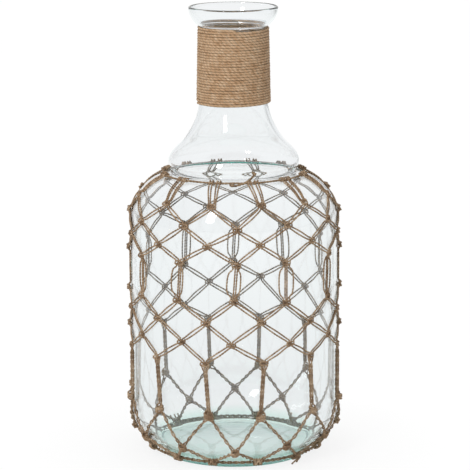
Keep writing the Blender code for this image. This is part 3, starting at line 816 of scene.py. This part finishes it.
def strand_places(home, hand, strand):
    """Places of one strand from its fold at the top ring down to its cut end."""
    upper = knots[RING_ROW, home]
    places = head_places(upper, hand, strand)
    for row in range(1, len(ROW_STATIONS)):
        column = column_at(home, row, hand)
        angle, station = knots[row, column]
        lower = (angle + math.tau * round((upper[0] - angle) / math.tau), station)
        on_left = (SWINGS[row] == 0) == (hand > 0)
        role = ROLES[strand + (0 if on_left else 2)]
        side = 2 * strand - 1
        if row == RING_ROW + 1:
            out = HEAD_OUTS[role]
            places += [beside(upper, lower, -10.0, out * 1.25), beside(upper, lower, -4.4, out)]
        elif row == BOW_ROW:
            places += bow_places(upper, lower, role, column)
        elif row == BALL_ROW:
            places += twist_places(upper, lower, ROPE_REACHES, ROPE_PHASES[role], ROPE_TURNS, ROPE_RADIUS)
        elif row > BALL_ROW:
            phase = math.pi * (1 - strand)
            places += twist_places(upper, lower, PAIR_REACHES, phase, PAIR_TURNS, PAIR_RADIUS)
        else:
            places += pair_places(upper, lower, side, last_role, role)
        if row == FOOT_ROW:
            places += tie_places(lower, column, hand, strand)
        elif row == BALL_ROW:
            places += to_places(ball_run(role, *BALL_SIZE, ball_tilts[row, column]), lower)
        elif row == HEEL_ROW:
            places += to_places(ball_run(role, *HEEL_BALL_SIZE, 0.5 * ball_tilts[row, column]), lower)
        else:
            places += to_places(tilted(square_run(role), knot_tilts[row, column]), lower)
        upper, last_role = lower, role
    return places


net_lengths = []
for count in range(2 * COLUMNS):
    home = 2 * (count // 2) + 1
    hand = 1 if count % 2 == 0 else -1
    home = home if home <= COLUMNS else home - 2 * COLUMNS
    left = map_line(strand_places(home, hand, 0))
    right = map_line(strand_places(home, hand, 1))
    name = f"net_cord_{count + 1:02d}"
    cord, length = twine(f"{name}_twine", [[*left[::-1], *right[1:]]], STRAND, net_jute)
    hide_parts(name)
    net_lengths.append(length)
print(f"net: {len(net_lengths)} cords of {min(net_lengths):.2f} to {max(net_lengths):.2f} m, ", end="")
print(f"{len(cord.data.polygons)} faces in the last")

# %% [markdown]
# ## The top ring
# The net hangs from a single twine in the groove. It is tied near the front, with its two knotted ends
# left standing. A slow noise lets it waver, so that it doesn't look like a drawn circle.

# %% Lay the top ring
TOP_RING_TWINE, TOP_RING_PLY_TURN, TOP_RING_LIFT = 2.1, 7.0, 1.3
TIE_ANGLE = math.radians(9)
RING_STEPS, RING_WANDER = 72, 0.5
END_KNOT_RUN = (
    (0.0, 0.0, 0.0), (1.3, 0.7, 0.6), (0.6, 1.5, 1.8), (-0.9, 0.6, 2.2),
    (-0.5, -1.0, 1.4), (1.0, -0.9, 0.7), (1.7, 0.3, 1.5),
)


def end_knot(knot, hand):
    """A small knot in a cut end, which keeps it from fraying, from the knot's middle outwards."""
    return to_places([(x * hand, y, z + knot[2]) for x, y, z in END_KNOT_RUN], knot[:2])


def top_ring_places():
    """Places of the top ring's twine, from one end round the bottle to the other."""
    ring = ROW_STATIONS[RING_ROW]
    start = end_knot((TIE_ANGLE - 0.18, ring + 4.6, 1.2), -1)[::-1]
    start += [(TIE_ANGLE - 0.12, ring + 4.0, 1.2), (TIE_ANGLE - 0.05, ring + 2.2, 1.6)]
    loop = []
    for step in range(RING_STEPS + 1):
        angle = TIE_ANGLE + 0.02 + (math.tau - 0.04) * step / RING_STEPS
        wander = RING_WANDER * noise.noise(Vector((3 * math.cos(angle), 3 * math.sin(angle), 0.0)))
        loop.append((angle, ring + wander, TOP_RING_LIFT))
    end_angle = TIE_ANGLE + math.tau
    end = [(end_angle + 0.03, ring + 0.6, 3.4), (end_angle + 0.09, ring - 2.4, 4.6)]
    return [*start, *loop, *end, *end_knot((end_angle + 0.14, ring - 5.0, 6.4), 1)]


lines = [map_line(top_ring_places())]
top_ring, length = twine("top_ring_twine", lines, TOP_RING_TWINE, ring_jute, ply_turn=TOP_RING_PLY_TURN)
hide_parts("top_ring_cord")
print(f"top ring: {length:.2f} m of twine")

# %% [markdown]
# ## The foot ring
# At the bottom the net ends on a thicker ring. One twine goes round twice, and its two turns are laid
# together like a rope. So two lines are drawn, which wind round one circle on opposite sides.

# %% Lay the foot ring
FOOT_RING_TWINE, FOOT_RING_SPREAD, FOOT_RING_LIFT = 1.7, 0.82, 1.9
FOOT_RING_TURNS, FOOT_RING_STEPS = 42, 420


def foot_ring_line(phase):
    """One of the two turns laid together round the heel."""
    station = ROW_STATIONS[FOOT_ROW]
    places = []
    for step in range(FOOT_RING_STEPS + 1):
        angle = math.tau * step / FOOT_RING_STEPS
        twist = phase + FOOT_RING_TURNS * angle
        down, out = FOOT_RING_SPREAD * math.sin(twist), FOOT_RING_SPREAD * math.cos(twist)
        places.append((angle, station + down, FOOT_RING_LIFT + out))
    return [in_space(place) for place in places]


foot_ring_lines = [foot_ring_line(0.0), foot_ring_line(math.pi)]
foot_ring, length = twine("foot_ring_twine", foot_ring_lines, FOOT_RING_TWINE, ring_jute, closed=True)
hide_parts("bottom_ring_cord")
print(f"foot ring: {length:.2f} m of twine in two turns")

# %% [markdown]
# ## Paper floor
# A white paper floor, as for a shop's picture. It is lit like any surface, so that the vase keeps its
# shadow, and glows a little where the camera, a reflection or the glass looks at it. The glow grows
# with the distance from the vase, and again right under its middle, where the glass blocks the lamp:
# that glow and the white there are painted light. What the glass looks at is greyer behind the body
# than behind the neck, and darker far to the sides, because clear glass only has edges where it bends
# dark things in.

# %% Lay the paper floor
# Stretches in metres from the vase, and what each adds to the glow's share at its ends. The last
# is painted light right under the vase's middle.
GLOW_STRETCHES = ((0.06, 0.13, 0.8, 0.92), (0.13, 0.22, 0.0, 0.06), (0.015, 0.065, 0.13, 0.0))
GLOW_STRENGTH = 1.02
# Metres from the vase, and the grey that the glass looks at there. The white right under the vase
# is painted light.
PAPER_GREYS = (
    (0.03, (1.0, 1.0, 1.0, 1.0)),
    (0.08, (0.95, 0.95, 0.95, 1.0)),
    (0.2, (0.84, 0.84, 0.85, 1.0)),
    (1.0, (0.93, 0.93, 0.94, 1.0)),
)
# Stretches in metres to the right, and how much of that grey is left at their ends
PAPER_SIDES = ((0.5, 1.1, 1.0, 0.4), (-1.4, -0.6, 0.75, 1.0))
PAPER_RADIUS, PAPER_DROP = 14.0, 0.2 * MM


def looked_at(tree):
    """The Light Path node, and 1 where the camera, a reflection or the glass looks."""
    rays = add_node(tree, "LightPath")
    seen = rays.outputs["Is Camera Ray"]
    for kind in ("Is Glossy Ray", "Is Transmission Ray"):
        either = add_node(tree, "Math", {0: seen, 1: rays.outputs[kind]}, operation="MAXIMUM")
        seen = either.outputs["Value"]
    return rays, seen


def glow_share(tree, distance, seen):
    """How much of the paper's look is glow: all stretches together, and only where it is looked at."""
    share = None
    for stretch in GLOW_STRETCHES:
        part = add_node(tree, "MapRange", {"Value": distance}, dict(zip(RANGE, stretch))).outputs["Result"]
        if share:
            part = add_node(tree, "Math", {0: share, 1: part}, operation="ADD").outputs["Value"]
        share = part
    both = add_node(tree, "Math", {0: share, 1: seen}, operation="MULTIPLY")
    return both.outputs["Value"]


def grey_through_glass(tree, place, distance):
    """The grey of the paper that the glass looks at."""
    greys = add_node(tree, "ValToRGB", {"Fac": distance})
    stops = greys.color_ramp.elements
    stops[0].position, stops[1].position = PAPER_GREYS[0][0], PAPER_GREYS[-1][0]
    for spot, _ in PAPER_GREYS[1:-1]:
        stops.new(spot)
    for stop, (_, grey) in zip(stops, PAPER_GREYS):
        stop.color = grey
    colour = greys.outputs["Color"]
    split = add_node(tree, "SeparateXYZ", {"Vector": place})
    for stretch in PAPER_SIDES:
        side = add_node(tree, "MapRange", {"Value": split.outputs["X"]}, dict(zip(RANGE, stretch)))
        both = {0: colour, "Scale": side.outputs["Result"]}
        colour = add_node(tree, "VectorMath", both, operation="SCALE").outputs["Vector"]
    return colour


floor_paint, tree, shader = new_material("matt_white_paper", Base_Color=linear("#f4f4f4"), Roughness=0.9)
rays, seen = looked_at(tree)
place = add_node(tree, "TexCoord").outputs["Object"]
distance = add_node(tree, "VectorMath", {0: place}, operation="LENGTH").outputs["Value"]
greys = {"Factor": rays.outputs["Is Transmission Ray"], 7: grey_through_glass(tree, place, distance)}
lit = add_node(tree, "Mix", greys, {6: linear("#ffffff")}, data_type="RGBA")
glow = add_node(tree, "Emission", {"Color": lit.outputs[2]}, {"Strength": GLOW_STRENGTH})
looks = {0: glow_share(tree, distance, seen), 1: shader.outputs["BSDF"], 2: glow.outputs["Emission"]}
mixed = add_node(tree, "MixShader", looks)
tree.links.new(mixed.outputs["Shader"], tree.nodes["Material Output"].inputs["Surface"])
bm = bmesh.new()
sunk = Matrix.Translation((0.0, 0.0, -PAPER_DROP))
bmesh.ops.create_circle(bm, cap_ends=True, segments=96, radius=PAPER_RADIUS, matrix=sunk)
paper = bpy.data.meshes.new("paper_floor")
bm.to_mesh(paper)
bm.free()
paper_floor = add_object("paper_floor", paper, floor_paint)
print(f"paper floor: {2 * PAPER_RADIUS:.0f} m wide, {PAPER_DROP / MM} mm under the foot")

# %% [markdown]
# ## Sky
# The sky is white where the camera looks, and a little greyer where the glass looks through to it.
# What the glass mirrors from in front is a darker room, which draws its edges. The sky shines on the
# vase at less than half of what it shows, so that the lamp can still give the twine its round shape.

# %% Hang the sky
SKY_LEVEL = 0.46

world = bpy.data.worlds.new("studio")
world.use_nodes = True
scene.world = world
tree = world.node_tree
sky = tree.nodes["Background"]
rays, seen = looked_at(tree)
direction = add_node(tree, "TexCoord").outputs["Generated"]
split = add_node(tree, "SeparateXYZ", {"Vector": direction})
depth = add_node(tree, "MapRange", {"Value": split.outputs["Y"]}, {"From Min": -1.0, "From Max": 1.0})
room = add_node(tree, "ValToRGB", {"Fac": depth.outputs["Result"]})
stops = room.color_ramp.elements
stops[0].color, stops[1].color = linear("#91979c"), linear("#ffffff")
stops.new(0.55).color = linear("#d0d5da")
front = {"Factor": rays.outputs["Is Glossy Ray"], 7: room.outputs["Color"]}
mirrored = add_node(tree, "Mix", front, {6: linear("#ffffff")}, data_type="RGBA")
through = {"Factor": rays.outputs["Is Transmission Ray"], 6: mirrored.outputs[2]}
behind = add_node(tree, "Mix", through, {7: linear("#e9e9ec")}, data_type="RGBA")
level = add_node(tree, "MapRange", {"Value": seen}, {"To Min": SKY_LEVEL, "To Max": 1.0})
tree.links.new(behind.outputs[2], sky.inputs["Color"])
tree.links.new(level.outputs["Result"], sky.inputs["Strength"])
print(f"sky: {SKY_LEVEL} on the vase, 1 where it is looked at")

# %% [markdown]
# ## Lamp
# One tall softbox stands at the front left. Its reflection gives the glass its bright patches, and its
# light falls across the twine, so that each turn and knot has a lit and a shaded side.

# %% Set the lamp
LAMP_PLACE, LAMP_AIM = Vector((-0.9, -1.7, 1.5)), Vector((0.0, 0.0, 0.25))
LAMP_SIZE, LAMP_POWER = (0.35, 0.9), 17

softbox = bpy.data.lights.new("key_softbox", "AREA")
softbox.shape = "RECTANGLE"
softbox.size, softbox.size_y = LAMP_SIZE
softbox.energy = LAMP_POWER
lamp = bpy.data.objects.new("key_softbox", softbox)
lamp.location = LAMP_PLACE
lamp.rotation_euler = (LAMP_AIM - LAMP_PLACE).to_track_quat("-Z", "Y").to_euler()
scene.collection.objects.link(lamp)
# Light crosses the thick floor of the glass many times, so it needs more bounces than usual.
scene.cycles.max_bounces = 32
scene.cycles.glossy_bounces = 16
scene.cycles.transmission_bounces = 32
print(f"lamp: {LAMP_POWER} W from {(LAMP_PLACE - LAMP_AIM).length:.1f} m")

# %% [markdown]
# ## Camera
# A long lens from a little above the vase, as its narrow ellipses show. The camera looks down by the
# angle that makes the rim's ellipse as flat as it is, and is turned by a quarter of a degree, because
# the vase leans so much in the picture.

# %% Set the camera
CAMERA_PLACE = (0.0, -2.2407, 0.6524)
CAMERA_DOWN, CAMERA_ROLL = math.radians(11.29), math.radians(-0.25)
SENSOR_WIDTH, LENS, LENS_SHIFT = 36.0, 186.6, 0.0017

camera = bpy.data.objects.new("camera", bpy.data.cameras.new("camera"))
camera.data.sensor_width = SENSOR_WIDTH
camera.data.lens = LENS
camera.data.shift_x = LENS_SHIFT
camera.location = CAMERA_PLACE
down = Matrix.Rotation(math.pi / 2 - CAMERA_DOWN, 3, "X")
camera.rotation_euler = (down @ Matrix.Rotation(CAMERA_ROLL, 3, "Z")).to_euler()
scene.collection.objects.link(camera)
scene.camera = camera
scene.view_settings.view_transform = "Standard"
print(f"camera: {LENS} mm lens, {math.degrees(CAMERA_DOWN):.1f} degrees down")
